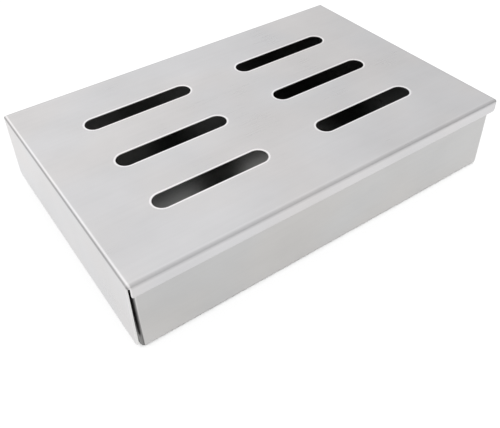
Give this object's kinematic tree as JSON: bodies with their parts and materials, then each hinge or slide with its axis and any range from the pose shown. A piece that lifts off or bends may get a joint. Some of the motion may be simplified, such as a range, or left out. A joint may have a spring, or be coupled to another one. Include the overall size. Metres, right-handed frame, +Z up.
{
  "type": "smoker box",
  "caption": "Flat stainless box for wood chips on a grill: a pressed tray and a slotted lid with folded channels and an end flap that slides off along it.",
  "frame": {"origin": "under the middle of the closed box, on the surface that it stands on", "axes": "+X along the box from the flap to the lid's open end, +Y across it, +Z up"},
  "size_m": [0.2, 0.135, 0.04],
  "materials": {
    "tray_steel": "satin",
    "lid_steel": "satin"
  },
  "bodies": {
    "tray": {"chip_tray": "tray_steel"},
    "lid": {"sliding_lid": "lid_steel"}
  },
  "joints": [
    {"name": "lid_slide", "type": "slide", "parent": "tray", "child": "lid", "axis": [-1, 0, 0], "range_m": [0, 0.205]}
  ]
}
